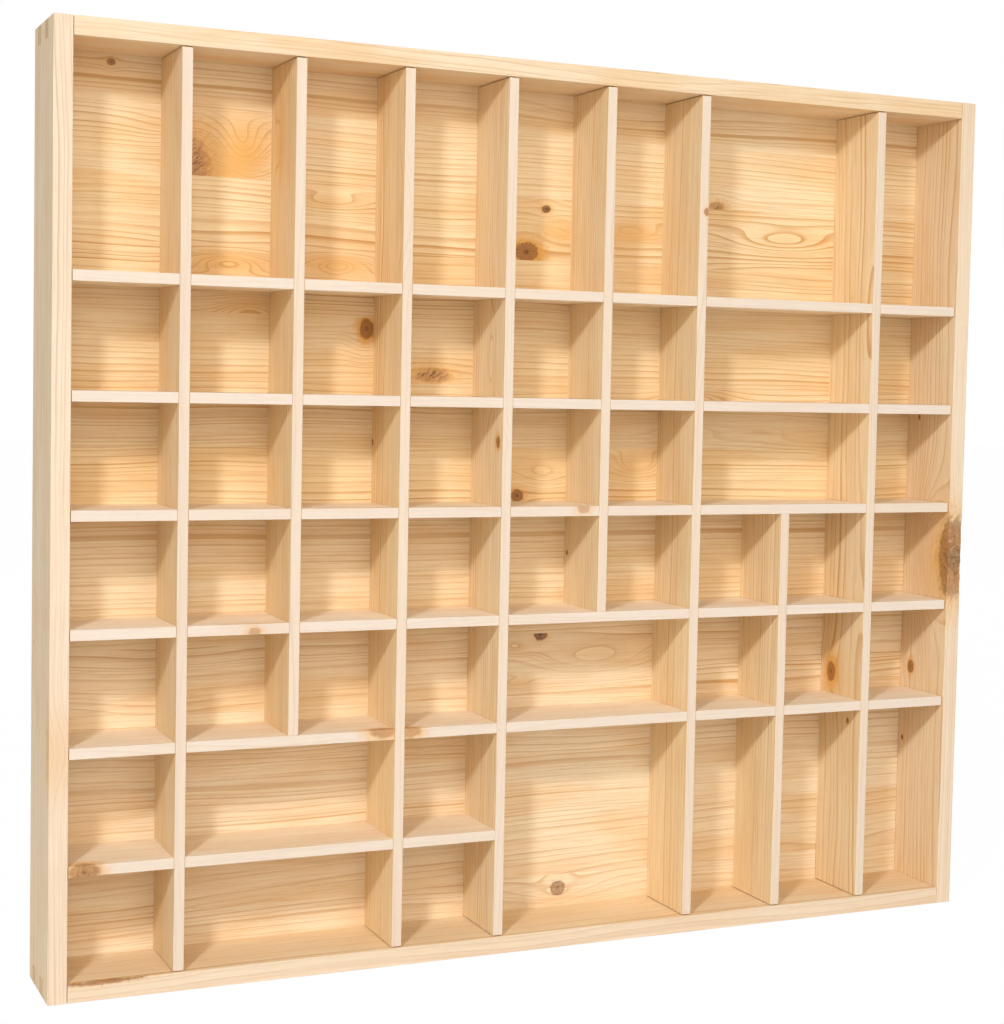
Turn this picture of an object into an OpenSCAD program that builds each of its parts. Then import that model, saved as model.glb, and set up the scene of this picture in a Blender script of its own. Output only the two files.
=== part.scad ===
// Type case for display: a finger-jointed frame, an egg-crate lattice of uprights and shelves,
// and a panel of glued staves let into a rabbet at the back.
// X runs along the width, Y from the open front to the back, Z up from the resting edge.
// The origin is at the middle of the bottom face.

/* [Compartments] */
// Clear width and height of one square cell
cell = 59; // [45:1:80]
// Clear depth from the front edges of the frame to the back panel
inner_depth = 50; // [49:1:90]
// How far the lattice stands back from the front edges of the frame
front_recess = 1.2; // [0:0.1:4]

/* [Boards] */
// Thickness of the uprights and shelves
lattice_t = 6; // [4:0.5:9]
// Thickness of the four frame boards
frame_t = 10.5; // [8.5:0.5:18]
// Thickness of the back panel
back_t = 6; // [4.5:0.5:10]

/* [Frame joints] */
// Distance from the front edge to the first finger
finger_front = 15; // [8:0.5:18]
// Width of one finger
finger_w = 10; // [6:0.5:12]
// Space between the two fingers
finger_gap = 12; // [6:0.5:15]
// Gap between the shoulders of the top and bottom boards and the sides
shoulder_gap = 0.3; // [0:0.05:0.6]
// Width of the rabbet that takes the back panel
rabbet_w = 6.5; // [5:0.5:8]
// Gap between the edge of the panel and the rabbet
panel_gap = 0.2; // [0.1:0.05:0.5]

/* [Lattice joints] */
// Clearance on each face of a halving slot
slot_gap = 0.1; // [0:0.05:0.3]
// Gap between the ends of the lattice and the frame
end_gap = 0.5; // [0:0.1:1]

/* [Back panel] */
// Height of the trimmed stave at the bottom
first_stave_h = 26.5; // [15:0.5:45]
// Height of the trimmed stave at the top
last_stave_h = 32.1; // [15:0.1:45]

/* [Pins] */
// Diameter of the panel pins
pin_d = 1.4; // [1:0.1:2]
// Length of the panel pins
pin_l = 20; // [14:1:24]
// Diameter of a pin's head
pin_head_d = 2.6; // [2.2:0.1:3.2]
// Thickness of a pin's head
pin_head_t = 0.6; // [0.4:0.1:1]

/* [Hangers] */
// Width of a hanger plate
hanger_w = 11; // [9:0.5:12]
// Height of a hanger plate
hanger_h = 42; // [34:1:52]
// Thickness of a hanger plate
hanger_t = 1.5; // [1:0.1:2]
// Diameter of the eye that hangs on the wall nail
eye_d = 6; // [4:0.5:7]
// Diameter of the pocket behind the eye
eye_pocket_d = 9; // [8:0.5:10]
// Depth of the pocket behind the plate
eye_pocket_depth = 2.8; // [1.5:0.1:2.9]
// Distance from the top of the case to the eye
eye_drop = 40; // [32:1:60]
// Distance between the two screws of a plate
screw_pitch = 28; // [22:1:34]
// Diameter of the hanger screws
screw_d = 2.5; // [2:0.1:3]
// Length of the hanger screws
screw_l = 16; // [12:1:20]
// Diameter of a screw's countersunk head
screw_head_d = 5; // [4:0.1:6]

/* [Hidden] */
$fn = 48;
columns = 9;
row_units = 8;
stave_count = 14;
// Clearance round a pin, a screw or a plate in the hole or pocket that takes it
fit_gap = 0.05;
plate_gap = 0.15;
// How far a cutting shape runs past the face that it cuts
over = 1;
// Cross recess in a screw's head
recess_w = 0.6;
recess_l = 2.8;
recess_depth = 0.7;
screw_head_h = 1.25;

pitch = cell + lattice_t;
case_w = 2 * frame_t + columns * pitch - lattice_t;
case_h = 2 * frame_t + row_units * pitch - lattice_t;
case_d = inner_depth + back_t;
front_y = -case_d / 2;
back_y = case_d / 2;
panel_y = back_y - back_t;
lattice_y = front_y + front_recess;
lattice_d = panel_y - lattice_y;
lip = frame_t - rabbet_w;
panel_w = case_w - 2 * lip - 2 * panel_gap;
panel_h = case_h - 2 * lip - 2 * panel_gap;
panel_z = lip + panel_gap;
stave_h = (panel_h - first_stave_h - last_stave_h) / (stave_count - 2);
// Middle of the rabbet, measured in from the outer face
rabbet_mid = frame_t - rabbet_w / 2;

// Borders between cells, counted from the left and from the bottom, with the frame as the first and last
BOTTOM = 0;
TOP = row_units;
LEFT = 0;
RIGHT = columns;

// Each upright: [cell border it stands on, border it starts at, border it ends at, cells with a pin]
UPRIGHTS = [
    [1, BOTTOM, TOP, [0, 3, 6]],
    [2, 2, TOP, [3, 6]],
    [3, BOTTOM, TOP, [0, 3, 6]],
    [4, BOTTOM, TOP, [0, 3, 6]],
    [5, 3, TOP, [4, 6]],
    [6, BOTTOM, TOP, [0, 3, 6]],
    [7, BOTTOM, 4, [0, 3]],
    [8, BOTTOM, TOP, [0, 3, 6]]
];
// Each shelf, from the top down: [border it lies on, border it starts at, border it ends at]
SHELVES = [[6, LEFT, RIGHT], [5, LEFT, RIGHT], [4, LEFT, RIGHT], [3, LEFT, RIGHT], [2, LEFT, RIGHT], [1, LEFT, 4]];
// Cells along the sides and along the top and bottom that have a pin in the frame
SIDE_PINS = [0, 2, 4, 6];
RAIL_PINS = [0, 2, 4, 6, 8];

pine = "#ecd2a4";
pine_back = "#e2bd84";
pine_edge = "#f3e0bd";
steel = "#b9bcc0";

// Left or lower face of the lattice board on border n, counted from the left or from the bottom
function border_x(n) = -case_w / 2 + frame_t + n * pitch - lattice_t;
function border_z(n) = frame_t + n * pitch - lattice_t;
// Middle of cell n, counted from the left or from the bottom
function cell_x(n) = -case_w / 2 + frame_t + n * pitch + cell / 2;
function cell_z(n) = frame_t + n * pitch + cell / 2;
// Ends of an upright and of a shelf: clear of the frame, or against the board that stops it
function upright_z0(u) = u[1] == BOTTOM ? frame_t + end_gap : border_z(u[1]) + lattice_t;
function upright_z1(u) = u[2] == TOP ? case_h - frame_t - end_gap : border_z(u[2]);
shelf_x0 = -case_w / 2 + frame_t + end_gap;
function shelf_x1(s) = s[2] == RIGHT ? case_w / 2 - frame_t - end_gap : border_x(s[2]);
// True where an upright and a shelf cross, and not where one stops at the other
function crosses(u, s) = u[1] < s[0] && s[0] < u[2] && u[0] < s[2];
// Joint line below stave n, counted from the bottom; the lines lie on whole hundredths of a millimetre
function stave_z(n) =
    n == 0 ? panel_z
    : n == stave_count ? panel_z + panel_h
    : hundredths(panel_z + first_stave_h + (n - 1) * stave_h);
function hundredths(v) = round(v * 100) / 100;

// Places of the pins in the face of the back, as [x, z]
side_x = case_w / 2 - rabbet_mid;
frame_pins = concat(
    [for (x = [-side_x, side_x], n = SIDE_PINS) [x, cell_z(n)]],
    [for (z = [rabbet_mid, case_h - rabbet_mid], n = RAIL_PINS) [cell_x(n), z]]
);
upright_pins = [for (u = UPRIGHTS, n = u[3]) [border_x(u[0]) + lattice_t / 2, cell_z(n)]];
eye_z = case_h - eye_drop;
screw_places = [for (x = [-side_x, side_x], s = [-1, 1]) [x, eye_z + s * screw_pitch / 2]];

// A bar along Y from y0 to y1
module round_bar(d, y0, y1) {
    translate([0, y0, 0]) rotate([-90, 0, 0]) cylinder(d = d, h = y1 - y0);
}

// The pins as bodies, or as the holes that take them when gap is given
module pins(places, gap = 0) {
    for (p = places) translate([p[0], 0, p[1]]) {
        round_bar(pin_d + 2 * gap, back_y - pin_l - gap, back_y - pin_head_t);
        round_bar(pin_head_d + 2 * gap, back_y - pin_head_t - gap, back_y + (gap > 0 ? over : 0));
    }
}

// The screws' shanks as holes in the wood
module screw_holes() {
    for (p = screw_places) translate([p[0], 0, p[1]])
        round_bar(screw_d + 2 * fit_gap, back_y - screw_l - fit_gap, back_y + over);
}

// Outline of a hanger plate, standing with round ends, larger by gap all round
module hanger_outline(gap = 0) {
    straight = hanger_h - hanger_w;
    square([hanger_w + 2 * gap, straight], center = true);
    for (s = [-1, 1]) translate([0, s * straight / 2]) circle(d = hanger_w + 2 * gap);
}

// Recesses for the two hanger plates and the pockets behind their eyes
module hanger_pockets() {
    for (x = [-side_x, side_x]) translate([x, 0, eye_z]) {
        translate([0, back_y + over, 0]) rotate([90, 0, 0])
            linear_extrude(hanger_t + over) hanger_outline(plate_gap);
        round_bar(eye_pocket_d, back_y - hanger_t - eye_pocket_depth, back_y);
    }
}

// Everything that is drilled or cut from the back
module back_cuts() {
    pins(frame_pins, fit_gap);
    screw_holes();
    hanger_pockets();
}

// The space that the back panel sits in, open at the back
module rabbet() {
    translate([-case_w / 2 + lip, panel_y, lip]) cube([case_w - 2 * lip, back_t + over, case_h - 2 * lip]);
}

// The two fingers at one corner, as bars along X from x0 to x1 and from z0 to z1
module fingers(x0, x1, z0, z1) {
    for (n = [0, 1])
        translate([x0, front_y + finger_front + n * (finger_w + finger_gap), z0])
            cube([x1 - x0, finger_w, z1 - z0]);
}

// A side board, with a socket for each finger at both ends; s is -1 on the left and 1 on the right
module side_board(s) {
    inner = s * (case_w / 2 - frame_t);
    outer = s * case_w / 2;
    x0 = min(inner, outer);
    color(pine_edge) difference() {
        translate([x0, front_y, 0]) cube([frame_t, case_d, case_h]);
        fingers(x0 - over, x0 + frame_t + over, -over, frame_t);
        fingers(x0 - over, x0 + frame_t + over, case_h - frame_t, case_h + over);
        rabbet();
        back_cuts();
    }
}

// The top or bottom board with its fingers; z is its lower face
module rail(z) {
    inner_w = case_w - 2 * frame_t - 2 * shoulder_gap;
    color(pine_edge) difference() {
        union() {
            translate([-inner_w / 2, front_y, z]) cube([inner_w, case_d, frame_t]);
            fingers(-case_w / 2, case_w / 2, z, z + frame_t);
        }
        rabbet();
        back_cuts();
    }
}

// An upright, slotted from the back where it crosses a shelf
module upright(n) {
    u = UPRIGHTS[n];
    z0 = upright_z0(u);
    color(pine) difference() {
        translate([border_x(u[0]), lattice_y, z0]) cube([lattice_t, lattice_d, upright_z1(u) - z0]);
        for (s = SHELVES) if (crosses(u, s))
            translate([border_x(u[0]) - over, lattice_y + lattice_d / 2, border_z(s[0]) - slot_gap])
                cube([lattice_t + 2 * over, lattice_d / 2 + over, lattice_t + 2 * slot_gap]);
        pins(upright_pins, fit_gap);
    }
}

// A shelf, slotted from the front where it crosses an upright
module shelf(n) {
    s = SHELVES[n];
    color(pine) difference() {
        translate([shelf_x0, lattice_y, border_z(s[0])])
            cube([shelf_x1(s) - shelf_x0, lattice_d, lattice_t]);
        for (u = UPRIGHTS) if (crosses(u, s))
            translate([border_x(u[0]) - slot_gap, lattice_y - over, border_z(s[0]) - over])
                cube([lattice_t + 2 * slot_gap, lattice_d / 2 + over, lattice_t + 2 * over]);
    }
}

// One stave of the back panel, counted from the bottom
module back_stave(n) {
    color(pine_back) difference() {
        translate([-panel_w / 2, panel_y, stave_z(n)])
            cube([panel_w, back_t, stave_z(n + 1) - stave_z(n)]);
        back_cuts();
        pins(upright_pins, fit_gap);
    }
}

module back_pins() {
    color(steel) pins(concat(frame_pins, upright_pins));
}

// A hanger plate with its eye and two countersunk holes, flush with the back
module hanger(x) {
    color(steel) translate([x, 0, eye_z]) difference() {
        translate([0, back_y, 0]) rotate([90, 0, 0]) linear_extrude(hanger_t) hanger_outline();
        round_bar(eye_d, back_y - hanger_t - over, back_y + over);
        for (s = [-1, 1]) translate([0, 0, s * screw_pitch / 2]) {
            round_bar(screw_d + 2 * fit_gap, back_y - hanger_t - over, back_y + over);
            translate([0, back_y - screw_head_h, 0]) rotate([-90, 0, 0])
                cylinder(d1 = screw_d + 2 * fit_gap, d2 = screw_head_d + 2 * fit_gap, h = screw_head_h);
        }
    }
}

// A countersunk wood screw with a cross recess, its head flush with the back
module wood_screw() {
    difference() {
        union() {
            round_bar(screw_d, back_y - screw_l, back_y - screw_head_h);
            translate([0, back_y - screw_head_h, 0]) rotate([-90, 0, 0])
                cylinder(d1 = screw_d, d2 = screw_head_d, h = screw_head_h);
        }
        for (a = [0, 90]) rotate([0, a, 0])
            translate([-recess_l / 2, back_y - recess_depth, -recess_w / 2])
                cube([recess_l, recess_depth + over, recess_w]);
    }
}

module hanger_screws() {
    color(steel) for (p = screw_places) translate([p[0], 0, p[1]]) wood_screw();
}

side_board(-1);  // left_side
side_board(1);  // right_side
rail(case_h - frame_t);  // top_board
rail(0);  // bottom_board
upright(0);  // upright_1
upright(1);  // upright_2
upright(2);  // upright_3
upright(3);  // upright_4
upright(4);  // upright_5
upright(5);  // upright_6
upright(6);  // upright_7
upright(7);  // upright_8
shelf(0);  // shelf_1
shelf(1);  // shelf_2
shelf(2);  // shelf_3
shelf(3);  // shelf_4
shelf(4);  // shelf_5
shelf(5);  // shelf_6
back_stave(0);  // back_stave_01
back_stave(1);  // back_stave_02
back_stave(2);  // back_stave_03
back_stave(3);  // back_stave_04
back_stave(4);  // back_stave_05
back_stave(5);  // back_stave_06
back_stave(6);  // back_stave_07
back_stave(7);  // back_stave_08
back_stave(8);  // back_stave_09
back_stave(9);  // back_stave_10
back_stave(10);  // back_stave_11
back_stave(11);  // back_stave_12
back_stave(12);  // back_stave_13
back_stave(13);  // back_stave_14
back_pins();
hanger(-side_x);  // hanger_left
hanger(side_x);  // hanger_right
hanger_screws();
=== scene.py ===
"""A pine type case: finger-jointed frame, halved lattice of uprights and shelves, and a glued stave back."""

import math

import bpy
import numpy as np
from mathutils import Matrix, Vector


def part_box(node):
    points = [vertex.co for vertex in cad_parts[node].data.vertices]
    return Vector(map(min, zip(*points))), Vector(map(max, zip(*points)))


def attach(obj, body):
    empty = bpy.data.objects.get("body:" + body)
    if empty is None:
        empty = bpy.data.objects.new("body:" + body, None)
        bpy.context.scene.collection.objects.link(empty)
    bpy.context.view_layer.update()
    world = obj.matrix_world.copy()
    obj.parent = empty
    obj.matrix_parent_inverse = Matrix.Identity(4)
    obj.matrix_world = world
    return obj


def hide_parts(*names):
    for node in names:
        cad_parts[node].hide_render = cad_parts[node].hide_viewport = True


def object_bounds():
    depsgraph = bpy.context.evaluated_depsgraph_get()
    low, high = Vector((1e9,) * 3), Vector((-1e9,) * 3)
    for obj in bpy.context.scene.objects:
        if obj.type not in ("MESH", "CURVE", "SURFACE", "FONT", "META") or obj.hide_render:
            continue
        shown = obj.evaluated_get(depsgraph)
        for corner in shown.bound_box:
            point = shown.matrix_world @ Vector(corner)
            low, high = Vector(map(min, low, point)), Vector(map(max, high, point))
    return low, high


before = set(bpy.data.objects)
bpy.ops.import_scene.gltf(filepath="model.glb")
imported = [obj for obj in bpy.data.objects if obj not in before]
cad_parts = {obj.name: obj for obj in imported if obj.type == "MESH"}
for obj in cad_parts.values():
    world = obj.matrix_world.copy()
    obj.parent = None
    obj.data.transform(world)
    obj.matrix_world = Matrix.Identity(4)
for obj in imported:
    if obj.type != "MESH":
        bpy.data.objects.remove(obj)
cad_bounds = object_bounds()

bl_info = {
    "name": "Type case",
    "version": (1, 0, 0),
    "blender": (4, 5, 0),
    "location": "3D View > Sidebar > Type case",
    "description": "Finishes the boards and hardware of a pine type case",
    "category": "Object",
}

MM = 0.001
UPRIGHTS = [f"upright_{n}" for n in range(1, 9)]
SHELVES = [f"shelf_{n}" for n in range(1, 7)]
STAVES = [f"back_stave_{n:02d}" for n in range(1, 15)]
HARDWARE = ["back_pins", "hanger_left", "hanger_right", "hanger_screws"]


def linear(code):
    """The linear red, green and blue of a colour written as six hexadecimal digits."""
    levels = np.array([int(code[n:n + 2], 16) for n in (0, 2, 4)]) / 255
    low = levels / 12.92
    high = ((levels + 0.055) / 1.055) ** 2.4
    return tuple(float(v) for v in np.where(levels <= 0.04045, low, high))


# ---------------------------------------------------------------- settings


def tint(name, description, code):
    """A colour that a user may change."""
    return bpy.props.FloatVectorProperty(
        name=name, description=description, subtype="COLOR", size=3, min=0, max=1, default=linear(code)
    )


def span(name, description, metres):
    """A length that a user may change."""
    return bpy.props.FloatProperty(
        name=name, description=description, subtype="DISTANCE", unit="LENGTH", min=0, precision=5,
        default=metres,
    )


def amount(name, description, value, high=10):
    """A plain number that a user may change."""
    return bpy.props.FloatProperty(name=name, description=description, min=0, max=high, default=value)


class TypeCaseSizes(bpy.types.PropertyGroup):
    """Sizes that the finish adds to the boards."""

    frame_arris: span("Frame arris", "Width of the sanded arrises on the frame boards", 0.28 * MM)
    lattice_arris: span("Lattice arris", "Width of the sanded arrises on uprights and shelves", 0.3 * MM)
    lip: span("Lip", "Width of the frame's back edge outside the panel", 4 * MM)
    finger_front: span("First finger", "Distance from the front edge to the first finger", 15 * MM)
    finger_width: span("Finger width", "Width of one finger", 10 * MM)
    finger_pitch: span("Finger pitch", "Distance from one finger to the next", 22 * MM)
    shoulder_gap: span("Shoulder gap", "Gap between the shoulders and the sides", 0.3 * MM)
    grain_depth: span("Grain depth", "Height of the raised late wood", 0.06 * MM)


class TypeCaseColours(bpy.types.PropertyGroup):
    """Colours of the wood and the steel."""

    frame_wood: tint("Frame wood", "Early wood of the frame boards", "f2dcba")
    upright_wood: tint("Upright wood", "Early wood of the uprights", "f6e0b8")
    # Painted light: the shelves are painted paler than the other lattice wood, standing in for brighter light
    # on their top faces.
    shelf_wood_painted_paler: tint("Shelf wood", "Early wood of the shelves", "faead3")
    back_wood: tint("Back wood", "Early wood of the back staves", "f6deb4")
    # Painted light: a paler, cooler colour mixed into the faces that look to the front, standing in for the
    # light on them.
    front_light_colour: tint("Sanded edge", "Paler wood of the sanded front edges", "dccbbc")
    late_wood: tint("Late wood", "Dark lines of the year rings", "c8934e")
    heart_wood: tint("Heart wood", "Warmer wood near knots and in orange streaks", "e3a64a")
    knot_wood: tint("Knot", "Sound wood inside a knot", "a66c38")
    knot_rim: tint("Knot rim", "Dark ring and cracks of a knot", "3f2614")
    end_wood: tint("End grain", "Sawn ends of the boards", "cfa777")
    zinc: tint("Zinc", "Plated pins, plates and screws", "b9bcc0")


class TypeCaseLight(bpy.types.PropertyGroup):
    """Levels of the studio light."""

    key: amount("Key", "Power of the lamp above and left of the camera", 4.85, 100)
    fill: amount("Fill", "Power of the broad lamp in front", 18.5, 200)
    back: amount("Back", "Power of the broad lamp behind", 12, 200)
    around: amount("Around", "Level of the light from all round", 0.37)
    key_size: span("Key size", "Side of the key lamp", 0.13)
    floor: tint("Floor", "Plain floor", "f8f8f7")


# ---------------------------------------------------------------- materials


class Value:
    """One socket of a material, so that shader maths is written as an expression on values."""

    def __init__(self, finish, socket):
        self.finish = finish
        self.socket = socket

    def math(self, operation, first, second=None):
        """A Math node on two values or numbers."""
        sockets = {0: first} if second is None else {0: first, 1: second}
        return self.finish.node("ShaderNodeMath", {"operation": operation}, sockets)

    def __add__(self, other):
        return self.math("ADD", self, other)

    __radd__ = __add__

    def __sub__(self, other):
        return self.math("SUBTRACT", self, other)

    def __rsub__(self, other):
        return self.math("SUBTRACT", other, self)

    def __mul__(self, other):
        return self.math("MULTIPLY", self, other)

    __rmul__ = __mul__

    def __truediv__(self, other):
        return self.math("DIVIDE", self, other)

    def __pow__(self, other):
        return self.math("POWER", self, other)

    def __abs__(self):
        return self.math("ABSOLUTE", self)

    def root(self):
        return self.math("SQRT", self)

    def exp(self):
        return self.math("EXPONENT", self)

    def part(self):
        """What is left after the whole number."""
        return self.math("FRACT", self)

    def wave(self):
        return self.math("SINE", self)

    def least(self, other):
        return self.math("MINIMUM", self, other)

    def most(self, other):
        return self.math("MAXIMUM", self, other)

    def rise(self, low, high):
        """0 at low, 1 at high, and smooth between; low may be above high."""
        flip = low > high
        ends = {1: min(low, high), 2: max(low, high), 3: float(flip), 4: float(not flip)}
        return self.finish.node(
            "ShaderNodeMapRange", {"interpolation_type": "SMOOTHSTEP"}, {0: self, **ends}
        )


class Finish:
    """Builds the nodes of one material."""

    def __init__(self, name):
        self.material = bpy.data.materials.new(name)
        self.material.use_nodes = True
        self.tree = self.material.node_tree
        self.tree.nodes.clear()

    def node(self, kind, settings=None, sockets=None, out=0):
        """A node of a kind: settings come first, then its sockets are set or linked. Gives one output."""
        made = self.tree.nodes.new(kind)
        for name, value in (settings or {}).items():
            setattr(made, name, value)
        for name, value in (sockets or {}).items():
            if isinstance(value, Value):
                self.tree.links.new(value.socket, made.inputs[name])
            else:
                made.inputs[name].default_value = value
        return Value(self, made.outputs[out]) if len(made.outputs) else made

    def mix(self, first, second, factor):
        """Colour first where the factor is 0 and colour second where it is 1."""
        settings = {"data_type": "RGBA", "blend_type": "MIX", "clamp_factor": True}
        sockets = {0: factor, 6: self.colour(first), 7: self.colour(second)}
        return self.node("ShaderNodeMix", settings, sockets, out=2)

    @staticmethod
    def colour(value):
        return value if isinstance(value, Value) else (*value, 1.0)

    def mottle(self, along, across, through, seed, detail=2.0, rough=0.5):
        """Smooth noise from 0 to 1 at a place given by three values, with about 1 as the size of a patch."""
        place = self.node("ShaderNodeCombineXYZ", None, {0: along + seed * 7.31, 1: across, 2: through})
        sockets = {"Vector": place, "Scale": 1.0, "Detail": detail, "Roughness": rough}
        return self.node("ShaderNodeTexNoise", {"noise_dimensions": "3D"}, sockets)

    def surface(self, colour, roughness, metallic=0.0, height=None, depth=0.0):
        """The Principled shader and the output, with the height as a fine relief in metres."""
        sockets = {"Base Color": colour, "Roughness": roughness, "Metallic": metallic, "IOR": 1.45}
        if height is not None:
            relief = {"Strength": 1.0, "Distance": depth, "Height": height}
            sockets["Normal"] = self.node("ShaderNodeBump", None, relief)
        shader = self.node("ShaderNodeBsdfPrincipled", None, sockets)
        self.node("ShaderNodeOutputMaterial", None, {"Surface": shader})
        return self.material


def knot(
    along, across, length, width,
    dark=0.5, spread=2.3, halo=0.5, rays=0.0, solid=0.9, rim=0.8, feather=0.0, through=None,
):
    """A knot: its place and its two sizes from the middle in millimetres, then its looks.

    spread is how far the grain bends, in knot sizes. halo is the warm wood around it, rays are star cracks,
    solid is how much the knot covers the grain, and feather is a burl. through is the middle and half of its
    depth.
    """
    return dict(
        along=along, across=across, length=length, width=width,
        dark=dark, spread=spread, halo=halo, rays=rays, solid=solid, rim=rim, feather=feather,
        through=through,
    )


def swirl(along, across, length, width, rise, warm=0.0):
    """A place where the rings come to the surface: its place, its two sizes, and its rise in millimetres."""
    return dict(along=along, across=across, length=length, width=width, rise=rise, warm=warm)


def pine(
    name, axes, middle, early, look, pith, ring,
    line=0.6, warp=3.0, lean=0.0, seed=1, knots=(), swirls=(), warmth=0.42, painted_front_light=0.0, painted_light=0.0,
):
    """Pine cut from a log. A ring's radius is the distance from the pith line, bent by slow noise and swirls.

    Each ring darkens slowly and ends sharply. The grain runs round knots, because the coordinate across the
    grain is drawn in near each of them. axes names the directions along, across and through the board.
    line is the strength of the late wood and warmth that of the golden patches. painted_front_light is the
    share of painted light on the faces that look to the front: a paler, cooler colour standing in for the
    light there.
    painted_light brings the early wood nearer to white, as painted light standing in for stronger light.
    """
    wood = Finish(name)
    place = wood.node("ShaderNodeTexCoord", None, None, out=3)
    shift = {"Vector": place, "Location": [-v for v in middle], "Scale": (1 / MM,) * 3}
    placed = wood.node("ShaderNodeMapping", {"vector_type": "POINT"}, shift)
    parts = wood.node("ShaderNodeSeparateXYZ", None, {0: placed}).socket.node
    facing = wood.node("ShaderNodeSeparateXYZ", None, {0: wood.node("ShaderNodeTexCoord", None, None, out=1)})
    order = ["xyz".index(c) for c in axes]
    along, across, through = (Value(wood, parts.outputs[n]) for n in order)
    off_along, off_across = middle[order[0]], middle[order[1]]

    bent = across
    marks = []
    for k in knots:
        da = along - (k["along"] - off_along)
        dp = across - (k["across"] - off_across)
        marks.append((k, da, dp))
        far = (da / (k["length"] * k["spread"])) ** 2 + (dp / (k["width"] * k["spread"])) ** 2
        bent = bent - dp * 0.92 * (far * -1.0).exp()

    slow = wood.mottle(along * 0.0045, across * 0.016, through * 0.016, seed, 1.0)
    fine = wood.mottle(along * 0.016, across * 0.05, through * 0.05, seed + 3, 1.0)
    radius = ((bent - pith[0] - along * lean) ** 2 + (through - pith[1]) ** 2).root()
    radius = radius + (slow - 0.5) * (warp * 4) + (fine - 0.5) * (warp * 0.55)
    warm = slow * 0.0
    for s in swirls:
        da = (along - (s["along"] - off_along)) / s["length"]
        dp = (across - (s["across"] - off_across)) / s["width"]
        hump = ((da * da + dp * dp) * -1.0).exp()
        radius = radius + hump * s["rise"]
        if s["warm"]:
            warm = warm + hump * s["warm"]

    stride = {"W": radius * (0.42 / ring) + seed, "Scale": 1.0, "Detail": 2.0}
    uneven = wood.node("ShaderNodeTexNoise", {"noise_dimensions": "1D"}, stride)
    year = (radius / (ring * 0.85) + uneven * 2.6).part()
    late = (year.rise(0.64, 0.95) * 0.72 + year * 0.28) * year.rise(1.0, 0.95)
    strength = wood.mottle(along * 0.004, across * 0.05, through * 0.05, seed + 9, 1.0).rise(0.25, 0.75)
    lines = late * (strength * 0.8 + 0.3) * (uneven * 0.9 + 0.5) * line
    fibre = wood.mottle(along * 0.03, across * 1.15, through * 1.15, seed + 5, 4.0, 0.7)
    pores = wood.mottle(along * 0.12, across * 3.5, through * 3.5, seed + 6, 1.0).rise(0.66, 0.8)
    patch = wood.mottle(along * 0.012, across * 0.045, through * 0.045, seed + 7, 2.0)

    draw = np.random.RandomState(seed)
    # Painted light: this share lifts the early wood toward white, standing in for stronger light.
    early = np.array(early) * (1 - painted_light) + painted_light
    early = early * (1 - 0.05 * draw.rand()) * (1 - np.array((0.0, 0.03, 0.1)) * draw.rand())
    honey = tuple(0.62 * e + 0.38 * h for e, h in zip(early, look.heart_wood))
    colour = wood.mix(tuple(early), honey, (patch.rise(0.4, 0.68) * warmth + warm).least(1.0))
    colour = wood.mix(colour, look.late_wood, lines)
    colour = wood.mix(colour, look.late_wood, (fibre.rise(0.42, 0.72) * 0.34 + pores * 0.16))
    if any(s["warm"] for s in swirls):
        colour = wood.mix(colour, look.heart_wood, warm * 0.45)
    # Painted light: faces that look to the front get a paler, cooler colour, standing in for the light on
    # them.
    if painted_front_light:
        front = Value(wood, facing.socket.node.outputs[1]).rise(-0.6, -0.95)
        colour = wood.mix(colour, look.front_light_colour, front * painted_front_light)
    height = late * 0.6 + fibre * 0.5
    rough = 0.56 + fibre * 0.12

    for k, da, dp in marks:
        edge = wood.mottle(da * 0.3, dp * 0.3, through * 0.3, seed + 11, 2.0)
        square = (da / k["length"]) ** 2 + (dp / k["width"]) ** 2
        if k["through"]:
            square = square + ((through - k["through"][0]) / k["through"][1]) ** 2
        far = square.root() * (edge * 0.8 + 0.6)
        colour = wood.mix(colour, look.heart_wood, far.rise(2.4, 0.8) * k["halo"])
        inside = far.rise(1.15, 0.8)
        rings = ((far * 13.0 + edge * 9.0).wave() * 0.5 + 0.5) * edge.rise(0.3, 0.7)
        core = far.rise(0.45, 0.0) * (0.5 + 0.5 * k["dark"])
        deep = rings * (0.75 * k["dark"]) + core + (k["dark"] - 0.5) * 0.8
        heart = wood.mix(look.knot_wood, look.knot_rim, deep.most(0.0).least(1.0))
        colour = wood.mix(colour, heart, inside * k["solid"])
        rim = far.rise(0.78, 0.98) * far.rise(1.2, 1.02) * edge.rise(0.25, 0.6)
        colour = wood.mix(colour, look.knot_rim, rim * (k["rim"] * (0.3 + 0.6 * k["dark"])))
        if k["rays"]:
            turn = wood.node("ShaderNodeMath", {"operation": "ARCTAN2"}, {0: dp, 1: da})
            ray = (turn * 17.0 + edge * 11.0 + far * 3.0).wave().rise(0.1, 1.0) * far.rise(1.5, 0.6)
            colour = wood.mix(colour, look.knot_rim, ray * (fibre + 0.3) * k["rays"])
            height = height - ray * 1.5
        if k["feather"]:
            slant = (dp - da * 0.8) * 0.5 + edge * 2.0
            barb = wood.mottle(da * 0.09 + dp * 0.09, slant, through * 0.3, seed + 13, 4.0, 0.75)
            plume = barb.rise(0.36, 0.7) * far.rise(1.7, 0.4)
            colour = wood.mix(colour, look.knot_wood, plume * k["feather"])
            cracks = (plume * plume) * far.rise(1.1, 0.3) * (0.8 * k["feather"])
            colour = wood.mix(colour, look.knot_rim, cracks)
            height = height - plume
        rough = rough - inside * 0.12

    sawn = abs(Value(wood, facing.socket.node.outputs[order[0]])).rise(0.75, 0.95)
    colour = wood.mix(colour, look.end_wood, sawn * 0.6)
    depth = bpy.context.scene.type_case_sizes.grain_depth
    return wood.surface(colour, rough + sawn * 0.15, height=height, depth=depth)


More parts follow.
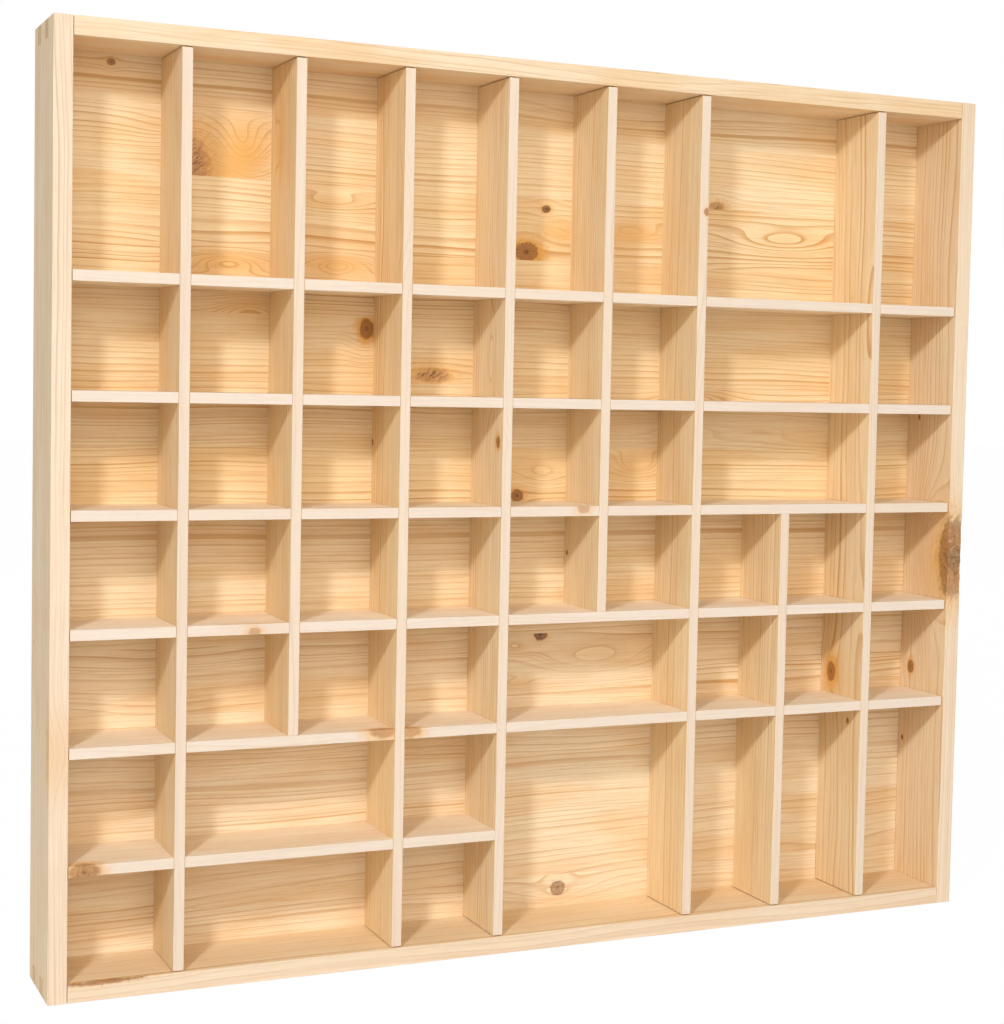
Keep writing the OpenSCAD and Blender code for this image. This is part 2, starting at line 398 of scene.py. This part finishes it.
def zinc(look):
    """Zinc plate: a pale metal with a faint spangle that changes its sheen."""
    steel = Finish("zinc_plate")
    place = steel.node("ShaderNodeTexCoord", None, None, out=3)
    spangle = steel.node("ShaderNodeTexVoronoi", None, {"Vector": place, "Scale": 900.0})
    cloud = steel.node("ShaderNodeTexNoise", None, {"Vector": place, "Scale": 260.0, "Detail": 3.0})
    dull = tuple(0.8 * v for v in look.zinc)
    colour = steel.mix(look.zinc, dull, cloud.rise(0.35, 0.7) * 0.7)
    sheen = spangle * 0.18 + cloud * 0.2 + 0.22
    return steel.surface(colour, sheen, metallic=1.0, height=cloud, depth=0.02 * MM)


# ---------------------------------------------------------------- pieces


def middle_of(node):
    """Middle of a part's box in millimetres."""
    low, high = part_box(node)
    return [(a + b) / 2 / MM for a, b in zip(low, high)]


def soften(piece, arris):
    """Joins the loose triangles and rounds each arris."""
    weld = piece.modifiers.new("Joined", "WELD")
    weld.merge_threshold = 0.002 * MM
    bevel = piece.modifiers.new("Arris", "BEVEL")
    bevel.width = arris
    bevel.segments = 2
    bevel.limit_method = "ANGLE"
    bevel.angle_limit = math.radians(40)
    bevel.use_clamp_overlap = False
    bevel.harden_normals = False


def coat(piece, material):
    """Gives a piece its one material, in its one slot."""
    piece.data.materials.clear()
    piece.data.materials.append(material)


# Year rings of each board: place of the pith across and through the board, ring width, and its marks.
# Marks are at (along, across) in the case's own millimetres.
FRAME_GRAIN = {
    "left_side": dict(
        pith=(-70, 46), ring=2.6, line=0.85, seed=11,
        swirls=[swirl(207, 14, 26, 8, 11, 0.3), swirl(162, 9, 20, 7, 9, 0.3), swirl(138, -26, 22, 6, 7, 0.9)],
    ),
    "right_side": dict(
        pith=(-40, -60), ring=2.4, line=0.85, warp=2, seed=12,
        knots=[
            knot(234, -28, 24, 9, 0.6, 2.3, 0.4, 0.3, 0.6, 0.6, 0.7),
            knot(155.5, 10, 4.2, 3.6, 0.4, 2.6, 0.5),
            knot(327, 9, 1.6, 1.2, 0.5), knot(105, 17, 1.6, 1.2, 0.5),
        ],
        swirls=[swirl(236, -6, 34, 17, -17, 0.3), swirl(232, -21, 24, 12, -13, 0.9)],
    ),
    # The top board takes only a little of the painted light on its front faces.
    "top_board": dict(pith=(-90, 40), ring=2.5, line=0.6, warmth=1.0, painted_front_light=0.1, seed=13),
    "bottom_board": dict(
        pith=(-80, -40), ring=2.5, line=0.7, seed=14,
        knots=[knot(-270, -28, 21, 2.6, 0.6, 1.5, 0.2, 0, 0.8, 0.3, 0.5, (5.25, 1.9))],
    ),
}
UPRIGHT_GRAIN = [
    dict(pith=(-150, 50), ring=2.8, line=0.72),
    dict(pith=(-90, 40), ring=3.1, line=0.65, swirls=[swirl(480, 4, 26, 9, 12, 0.7)]),
    dict(pith=(-120, 40), ring=3.4, line=0.72, knots=[knot(307, 21, 1.8, 1.4, 0.6)],
         swirls=[swirl(440, -24, 34, 5, 7, 0.4), swirl(445, 0, 60, 14, 5)]),
    dict(pith=(-60, 28), ring=3.4, line=0.72, knots=[knot(309, -19.4, 3.4, 2.6, 0.35, 2.6, 0.7)],
         swirls=[swirl(360, -10, 40, 9, 12)]),
    dict(pith=(-140, 40), ring=2.9, line=0.72, knots=[knot(238, 18, 1.4, 1.2, 0.6)]),
    dict(pith=(-160, 60), ring=2.7, line=0.72,
         knots=[knot(453, -27.6, 2.6, 1.6, 0.45, 2.3, 0.3, 0, 0.8, 0.4, 0, (1.6, 2.0))]),
    dict(pith=(-110, -50), ring=2.8, line=0.72),
    dict(pith=(-24, 22), ring=4.8, line=0.90, warp=4.5, lean=0.02,
         knots=[knot(155, 9.5, 6.4, 4.4, 0.35, 2.6, 1.0), knot(125, -12, 1.8, 1.4, 0.5)],
         swirls=[swirl(155, 7, 20, 12, -9, 0.8)]),
]
SHELF_GRAIN = [
    dict(pith=(-130, 60), ring=2.2, line=0.4),
    dict(pith=(-110, -60), ring=2.0, line=0.4),
    dict(pith=(-150, 60), ring=2.2, line=0.4,
         knots=[knot(19, -27, 4.2, 2.6, 0.3, 2.0, 0.4, 0, 0.45, 0.3, 0, (1.8, 3.0))]),
    dict(pith=(-90, 40), ring=2.4, line=0.5,
         knots=[knot(-186, -27.5, 3.4, 2.0, 0.4, 2.0, 0.4, 0, 0.5, 0.3, 0, (-1.6, 2.6))],
         swirls=[swirl(-189, -26, 17, 6, 8, 0.6)]),
    dict(pith=(-120, -50), ring=2.1, line=0.45,
         knots=[knot(-108, -25, 8, 4.4, 0.45, 2.0, 0.6, 0, 0.6, 0.3, 0, (2.4, 4.2)),
                knot(-91, -26, 6.5, 4.6, 0.3, 2.0, 0.6, 0, 0.55, 0.2, 0, (1.8, 4.4))]),
    dict(pith=(-100, 40), ring=2.3, line=0.45,
         knots=[knot(-280, -26, 8, 6, 0.5, 2.1, 0.7, 0.3, 0.6, 0.5, 0.5, (-0.6, 4.2))]),
]
# Painted light: the lower staves are painted paler, standing in for the stronger light in the low
# compartments.
STAVE_GRAIN = [
    dict(pith=(-60, -30), painted_light=0.2, ring=3.8, line=0.68,
         knots=[knot(30, 22, 4.6, 4.4, 0.6, 2.4, 0.05, 0.5, 0.6, 1.0)],
         swirls=[swirl(30, 20, 32, 8, 7)]),
    dict(pith=(-26, 20), painted_light=0.18, ring=4.0, line=0.62, lean=0.03),
    dict(pith=(60, 30), painted_light=0.16, ring=3.4, line=0.62),
    dict(pith=(-50, 26), painted_light=0.20, ring=3.8, line=0.69, lean=-0.02, swirls=[swirl(-150, 128, 60, 8, 9)]),
    dict(pith=(-34, 22), painted_light=0.16, ring=3.6, line=0.94, warp=4,
         knots=[knot(14, 186, 4.5, 3.6, 0.85, 2.2, 0.3)],
         swirls=[swirl(54, 168, 42, 12, 16), swirl(-4, 178, 12, 5, 6, 0.3), swirl(-2, 155, 16, 4, 6, 0.4)]),
    dict(pith=(-110, 30), painted_light=0.10, ring=3.8, line=0.75, warp=1.5),
    dict(pith=(110, 30), painted_light=0.06, ring=3.9, line=0.75, warp=1.5),
    dict(pith=(-60, 28), ring=3.4, line=0.88, knots=[knot(-4, 274, 4, 3.8, 0.5, 2.8, 0.6, 0.4, 0.85)],
         swirls=[swirl(12, 286, 26, 8, 10), swirl(80, 292, 20, 9, 12, 0.2)]),
    dict(pith=(60, 24), ring=3.5, line=0.75,
         swirls=[swirl(120, 318, 34, 7, 9), swirl(176, 318, 28, 7, 9), swirl(120, 338, 28, 5, 7)]),
    dict(pith=(-40, 26), ring=3.0, line=0.81,
         knots=[knot(-105, 375, 4.2, 5.6, 0.45, 2.6, 1.0),
                knot(-62, 348, 11, 4, 0.3, 1.7, 0.4, 0, 0.3, 0.1, 0.85)]),
    dict(pith=(50, 26), ring=3.0, line=1.00,
         swirls=[swirl(-124, 413, 20, 6, 11, 0.9), swirl(-190, 412, 24, 6, 9, 0.7),
                 swirl(-177, 383, 16, 7, 10, 0.3)]),
    dict(pith=(-40, 24), ring=3.4, line=1.00, warp=3.5,
         knots=[knot(12, 453, 2.8, 2.2, 0.95, 3.4, 0.5), knot(-1, 426, 7.5, 5.5, 0.42, 2.6, 1.0, 0.5, 0.85),
                knot(21, 441, 8, 4.4, 0.0, 1.6, 0.42, 0, 0.0, 0.0)],
         swirls=[swirl(72, 441, 26, 6, 10, 0.8), swirl(186, 440, 46, 9, 13, 0.2),
                 swirl(-128, 449, 24, 5, 8, 0.5)]),
    dict(pith=(-90, 30), painted_light=0.05, ring=3.4, line=0.75,
         knots=[knot(-211, 467, 9, 13, 0.6, 1.6, 0.6, 0, 0.3, 0.0, 1.0),
                knot(134, 461, 5.5, 3.6, 0.4, 2.4, 0.45, 0, 0.45, 0.2, 0.7)],
         swirls=[swirl(-182, 474, 15, 15, 17, 1.5), swirl(-192, 461, 9, 8, -9, 0.9),
                 swirl(-214, 488, 30, 9, 7, 0.4)]),
    dict(pith=(-70, 26), painted_light=0.06, ring=3.6, line=0.75,
         knots=[knot(-259, 520, 2.2, 1.8, 0.6, 2.4, 0.2, 0, 0.8)],
         swirls=[swirl(60, 515, 60, 8, 8)]),
]


def finish_boards(names, grains, axes, early, slot, arris):
    """Gives each board its own cut of pine and rounds its arrises."""
    look = bpy.context.scene.type_case_colours
    # Lattice boards take a strong share of the painted light on their front faces; the staves take none.
    usual = {"warmth": 0.75} if slot == "panel_pine" else {"painted_front_light": 0.7}
    for number, (name, grain) in enumerate(zip(names, grains)):
        facts = {"seed": 20 + 13 * number + len(name), **usual, **grain}
        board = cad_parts[name]
        coat(board, pine(name + "_pine", axes, middle_of(name), early, look, **facts))
        if arris:
            soften(board, arris)


def box_walls(adds, cuts, extra):
    """Corners and faces of a board given as boxes of wood less boxes of air.

    Space is divided into cells at every box face and at the extra planes. The surface is each cell wall that
    has wood on one side only, wound so that it faces the air.
    """
    planes = []
    for axis in range(3):
        ends = [value for box in adds + cuts for value in (box[0][axis], box[1][axis])]
        low = min(box[0][axis] for box in adds)
        high = max(box[1][axis] for box in adds)
        every = np.unique(np.round(np.concatenate([ends, extra[axis]]), 3))
        planes.append(every[(every > low - 0.002) & (every < high + 0.002)])
    middles = np.meshgrid(*[(p[1:] + p[:-1]) / 2 for p in planes], indexing="ij")
    wood = np.zeros(middles[0].shape, bool)
    for boxes, filled in ((adds, True), (cuts, False)):
        for low, high in boxes:
            within = [(m > a) & (m < b) for m, a, b in zip(middles, low, high)]
            wood[within[0] & within[1] & within[2]] = filled
    counts = [len(p) for p in planes]
    faces = []
    for axis in range(3):
        pads = [(1, 1) if n == axis else (0, 0) for n in range(3)]
        change = np.diff(np.pad(wood, pads).astype(int), axis=axis)
        for way in (1, -1):
            cell = np.stack(np.nonzero(change == way))
            ring = []
            for one, two in ((0, 0), (1, 0), (1, 1), (0, 1))[::-way]:
                corner = cell.copy()
                corner[(axis + 1) % 3] += one
                corner[(axis + 2) % 3] += two
                ring.append(np.ravel_multi_index(tuple(corner), counts))
            faces.append(np.stack(ring, axis=1))
    used, faces = np.unique(np.concatenate(faces), return_inverse=True)
    places = np.unravel_index(used, counts)
    corners = np.stack([p[n] for p, n in zip(planes, places)], axis=1)
    return corners, faces.reshape(-1, 4)


def ripple(corners, size):
    """Roughness from 0 to 1: two crossed trains of sine waves, each bent by the other, about size long."""
    x, y, z = corners.T / size
    first = np.sin(2.3 * z + 1.1 * y + 0.7 * x + 1.3 * np.sin(0.7 * z - y))
    second = np.sin(5.1 * z - 3.7 * y + 2.9 * x + 1.7 * np.sin(1.9 * z + 2 * x))
    return 0.5 + 0.3 * first + 0.2 * second


def rough_knot(corners):
    """Sinks the torn knot on the front and inner faces of the right side: deepest along its cracks."""
    x, y, z = corners.T
    near = np.clip(1 - ((z - 234) / 29) ** 2 - ((y + 28) / 17) ** 2, 0, 1) ** 0.6
    inner_crack = np.exp(-((y + 25.5 + 2.2 * np.sin(z * 0.23)) / 0.8) ** 2)
    front_crack = np.exp(-((x - 294 - 2 * np.sin(z * 0.31)) / 0.6) ** 2)
    crack = inner_crack + front_crack
    depth = near * (0.12 + 0.55 * ripple(corners, 5.0) + 0.5 * crack)
    moved = corners.copy()
    moved[:, 1] += depth * (y < -27.99)
    moved[:, 0] += 0.7 * depth * (x < 289.51)
    return moved


def bark_edge(corners):
    """Wears away the front top arris of the bottom board near its left end, where bark was left."""
    x, y, z = corners.T
    along = np.clip((x + 290) / 3, 0, 1) * np.clip((-250 - x) / 8, 0, 1)
    near = along * np.exp(-((y + 28) ** 2 + (z - 10.5) ** 2) / 1.6 ** 2)
    depth = near * (0.3 + 0.9 * ripple(corners, 3.0))
    moved = corners.copy()
    moved[:, 1] += depth
    moved[:, 2] -= depth
    return moved


def plain(corners):
    """Leaves the faces flat."""
    return corners


def frame_board(name, adds, cuts, extra, relief, arris):
    """One frame board as a new piece in place of its node."""
    corners, faces = box_walls(adds, cuts, extra)
    mesh = bpy.data.meshes.new(name + "_board")
    mesh.from_pydata((relief(corners) * MM).tolist(), [], faces.tolist())
    mesh.update()
    board = bpy.data.objects.new(name + "_board", mesh)
    bpy.context.scene.collection.objects.link(board)
    bevel = board.modifiers.new("Arris", "BEVEL")
    bevel.width = arris
    bevel.segments = 2
    bevel.limit_method = "ANGLE"
    bevel.angle_limit = math.radians(78)
    bevel.use_clamp_overlap = False
    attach(board, "root")
    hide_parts(name)
    return board


def frame_boards(arris):
    """The four boards of the frame, from boxes: fingers, sockets, the rabbet and the hanger recesses."""
    low, high = (np.round(np.array(v) / MM, 3) for v in cad_bounds)
    thick = round((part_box("left_side")[1].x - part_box("left_side")[0].x) / MM, 3)
    panel = round(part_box("back_stave_01")[0].y / MM, 3)
    sizes = bpy.context.scene.type_case_sizes
    lip = sizes.lip / MM
    first, pitch = sizes.finger_front / MM, sizes.finger_pitch / MM
    fingers = [(low[1] + first + n * pitch, sizes.finger_width / MM) for n in (0, 1)]
    shoulder = high[0] - thick - sizes.shoulder_gap / MM
    rabbet = ((low[0] + lip, panel, low[2] + lip), (high[0] - lip, high[1] + 1, high[2] - lip))
    eye = (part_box("hanger_left")[0].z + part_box("hanger_left")[1].z) / 2 / MM
    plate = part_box("hanger_right")
    made = {}
    for name, side in (("left_side", -1), ("right_side", 1)):
        inner, outer = side * (high[0] - thick), side * high[0]
        x0, x1 = min(inner, outer), max(inner, outer)
        cuts = [rabbet]
        for z0, z1 in ((low[2] - 1, low[2] + thick), (high[2] - thick, high[2] + 1)):
            cuts += [((x0 - 1, y0, z0), (x1 + 1, y0 + wide, z1)) for y0, wide in fingers]
        rim = side * (plate[1].x / MM + 0.15)
        edge = side * (high[0] - lip)
        recess = (min(rim, edge), plate[0].y / MM, eye - 20), (max(rim, edge), high[1] + 1, eye + 20)
        cuts.append(recess)
        fine = ([], [], [])
        if side > 0:
            fine = (np.arange(x0, x1, 0.7), np.arange(low[1], -9, 0.9), np.arange(204, 265, 0.9))
        relief = rough_knot if side > 0 else plain
        whole = [((x0, low[1], low[2]), (x1, high[1], high[2]))]
        made[name] = frame_board(name, whole, cuts, fine, relief, arris)
    for name, z0 in (("top_board", high[2] - thick), ("bottom_board", low[2])):
        adds = [((-shoulder, low[1], z0), (shoulder, high[1], z0 + thick))]
        adds += [((low[0], y0, z0), (high[0], y0 + wide, z0 + thick)) for y0, wide in fingers]
        fine = ([], [], [])
        if name == "bottom_board":
            across_x = np.arange(-shoulder, -248, 0.9)
            fine = (across_x, np.arange(low[1], -24, 0.6), np.arange(6.9, z0 + thick, 0.6))
        relief = bark_edge if name == "bottom_board" else plain
        made[name] = frame_board(name, adds, [rabbet], fine, relief, arris)
    return made


class TYPECASE_OT_stage(bpy.types.Operator):
    """Make the camera, the lamps, the world and the floor"""

    bl_idname = "typecase.stage"
    bl_label = "Stage"

    def execute(self, context):
        scene = context.scene
        light = scene.type_case_light
        lens = bpy.data.cameras.new("camera")
        lens.lens = 66.86
        lens.sensor_width = 36
        lens.shift_x = -0.0440
        lens.shift_y = -0.0212
        lens.clip_start = 0.02
        camera = bpy.data.objects.new("camera", lens)
        right = Vector((0.90787, -0.41871, 0.02117))
        down = Vector((-0.00452, -0.06025, -0.99817))
        ahead = Vector((0.41922, 0.90612, -0.05659))
        turned = Matrix((right, -down, -ahead)).transposed().to_4x4()
        camera.matrix_world = Matrix.Translation((-0.48595, -1.06433, 0.34511)) @ turned
        scene.collection.objects.link(camera)
        scene.camera = camera

        aim = Vector((0.06, 0.02, 0.22))
        low_aim = Vector((0.1, 0.0, -0.8))
        key = self.lamp(scene, "key_lamp", (-0.80, -0.93, 0.94), low_aim, light.key, light.key_size, True)
        key.color = (0.96, 1.0, 1.08)
        fill = self.lamp(scene, "fill_lamp", (-0.15, -1.9, 1.15), aim, light.fill, 1.5, False)
        fill.color = (1.0, 0.965, 0.9)
        self.lamp(scene, "back_lamp", (0.7, 1.9, 1.1), aim, light.back, 1.4, False)
        self.world(scene, light)
        self.floor(scene, light)
        scene.view_settings.view_transform = "Standard"
        return {"FINISHED"}

    @staticmethod
    def lamp(scene, name, place, aim, power, size, even):
        """A square lamp at a place, turned to its aim; an even one doesn't weaken with distance."""
        data = bpy.data.lights.new(name, "AREA")
        data.size = size
        data.energy = power
        if even:
            data.use_nodes = True
            nodes = data.node_tree.nodes
            falloff = nodes.new("ShaderNodeLightFalloff")
            falloff.inputs["Strength"].default_value = 1.0
            data.node_tree.links.new(falloff.outputs["Constant"], nodes["Emission"].inputs["Strength"])
        lamp = bpy.data.objects.new(name, data)
        lamp.location = place
        lamp.rotation_euler = (aim - Vector(place)).to_track_quat("-Z", "Y").to_euler()
        lamp.visible_camera = False
        scene.collection.objects.link(lamp)
        return data

    @staticmethod
    def world(scene, light):
        """White to the camera, in reflections and through glass, and a lower level as light."""
        world = bpy.data.worlds.new("studio")
        world.use_nodes = True
        tree = world.node_tree
        tree.nodes.clear()
        path = tree.nodes.new("ShaderNodeLightPath")
        either = tree.nodes.new("ShaderNodeMath")
        either.operation = "ADD"
        all_three = tree.nodes.new("ShaderNodeMath")
        all_three.operation = "ADD"
        all_three.use_clamp = True
        level = tree.nodes.new("ShaderNodeMapRange")
        level.inputs["To Min"].default_value = light.around
        level.inputs["To Max"].default_value = 1.0
        glow = tree.nodes.new("ShaderNodeBackground")
        glow.inputs["Color"].default_value = (1, 1, 1, 1)
        out = tree.nodes.new("ShaderNodeOutputWorld")
        link = tree.links.new
        link(path.outputs["Is Camera Ray"], either.inputs[0])
        link(path.outputs["Is Glossy Ray"], either.inputs[1])
        link(either.outputs[0], all_three.inputs[0])
        link(path.outputs["Is Transmission Ray"], all_three.inputs[1])
        link(all_three.outputs[0], level.inputs["Value"])
        link(level.outputs["Result"], glow.inputs["Strength"])
        link(glow.outputs[0], out.inputs["Surface"])
        scene.world = world

    @staticmethod
    def floor(scene, light):
        """A wide square on the ground. The camera sees mostly plain white with a faint share of the paint."""
        half = 9.0
        corners = np.array([[-1, -1, 0], [1, -1, 0], [1, 1, 0], [-1, 1, 0]], float) * half
        mesh = bpy.data.meshes.new("floor")
        mesh.from_pydata(corners.tolist(), [], [(0, 1, 2, 3)])
        floor = bpy.data.objects.new("floor", mesh)
        scene.collection.objects.link(floor)
        paint = Finish("floor_paint")
        matt = paint.node("ShaderNodeBsdfDiffuse", None, {"Color": (*light.floor, 1)})
        white = paint.node("ShaderNodeEmission", None, {"Color": (1, 1, 1, 1), "Strength": 1.0})
        white_share = 0.985
        seen = paint.node("ShaderNodeLightPath", None, None, out=0) * white_share
        paint.node(
            "ShaderNodeOutputMaterial", None,
            {"Surface": paint.node("ShaderNodeMixShader", None, {0: seen, 1: matt, 2: white})},
        )
        mesh.materials.append(paint.material)


class TYPECASE_OT_frame_boards(bpy.types.Operator):
    """Build the two sides and the top and bottom boards"""

    bl_idname = "typecase.frame_boards"
    bl_label = "Frame boards"

    def execute(self, context):
        look = context.scene.type_case_colours
        for name, board in frame_boards(context.scene.type_case_sizes.frame_arris).items():
            axes = "zyx" if name.endswith("side") else "xyz"
            # The frame boards take a middling share of the painted light on their front faces.
            facts = {"painted_front_light": 0.4, **FRAME_GRAIN[name]}
            cut = pine(name + "_pine", axes, middle_of(name), look.frame_wood, look, **facts)
            coat(board, cut)
        return {"FINISHED"}


class TYPECASE_OT_uprights(bpy.types.Operator):
    """Finish the eight uprights of the lattice"""

    bl_idname = "typecase.uprights"
    bl_label = "Uprights"

    def execute(self, context):
        scene = context.scene
        early = scene.type_case_colours.upright_wood
        arris = scene.type_case_sizes.lattice_arris
        finish_boards(UPRIGHTS, UPRIGHT_GRAIN, "zyx", early, "lattice_pine", arris)
        return {"FINISHED"}


class TYPECASE_OT_shelves(bpy.types.Operator):
    """Finish the six shelves of the lattice"""

    bl_idname = "typecase.shelves"
    bl_label = "Shelves"

    def execute(self, context):
        scene = context.scene
        # Painted light: the shelves' paler colour stands in for brighter light on their top faces.
        early = scene.type_case_colours.shelf_wood_painted_paler
        arris = scene.type_case_sizes.lattice_arris
        finish_boards(SHELVES, SHELF_GRAIN, "xyz", early, "lattice_pine", arris)
        return {"FINISHED"}


class TYPECASE_OT_back(bpy.types.Operator):
    """Finish the glued staves of the back"""

    bl_idname = "typecase.back"
    bl_label = "Back staves"

    def execute(self, context):
        scene = context.scene
        early = scene.type_case_colours.back_wood
        finish_boards(STAVES, STAVE_GRAIN, "xzy", early, "panel_pine", 0.0)
        return {"FINISHED"}


class TYPECASE_OT_hardware(bpy.types.Operator):
    """Finish the pins, the hanger plates and their screws"""

    bl_idname = "typecase.hardware"
    bl_label = "Pins and hangers"

    def execute(self, context):
        plate = zinc(context.scene.type_case_colours)
        for name in HARDWARE:
            coat(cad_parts[name], plate)
        return {"FINISHED"}


class TYPECASE_PT_panel(bpy.types.Panel):
    """Lists the settings and the steps"""

    bl_idname = "TYPECASE_PT_panel"
    bl_label = "Type case"
    bl_space_type = "VIEW_3D"
    bl_region_type = "UI"
    bl_category = "Type case"

    def draw(self, context):
        for group in SETTINGS:
            settings = getattr(context.scene, group)
            for name in settings.bl_rna.properties.keys():
                if name not in ("rna_type", "name"):
                    self.layout.prop(settings, name)
        for step in STEPS:
            self.layout.operator(step.bl_idname)


SETTINGS = {
    "type_case_sizes": TypeCaseSizes,
    "type_case_colours": TypeCaseColours,
    "type_case_light": TypeCaseLight,
}
STEPS = (
    TYPECASE_OT_stage,
    TYPECASE_OT_frame_boards,
    TYPECASE_OT_uprights,
    TYPECASE_OT_shelves,
    TYPECASE_OT_back,
    TYPECASE_OT_hardware,
)
CLASSES = (*SETTINGS.values(), *STEPS, TYPECASE_PT_panel)


def register():
    for each in CLASSES:
        bpy.utils.register_class(each)
    for name, group in SETTINGS.items():
        setattr(bpy.types.Scene, name, bpy.props.PointerProperty(type=group))


def unregister():
    for name in SETTINGS:
        delattr(bpy.types.Scene, name)
    for each in reversed(CLASSES):
        bpy.utils.unregister_class(each)


def main():
    register()
    bpy.ops.typecase.stage()
    bpy.ops.typecase.frame_boards()
    bpy.ops.typecase.uprights()
    bpy.ops.typecase.shelves()
    bpy.ops.typecase.back()
    bpy.ops.typecase.hardware()


if __name__ == "__main__":
    main()
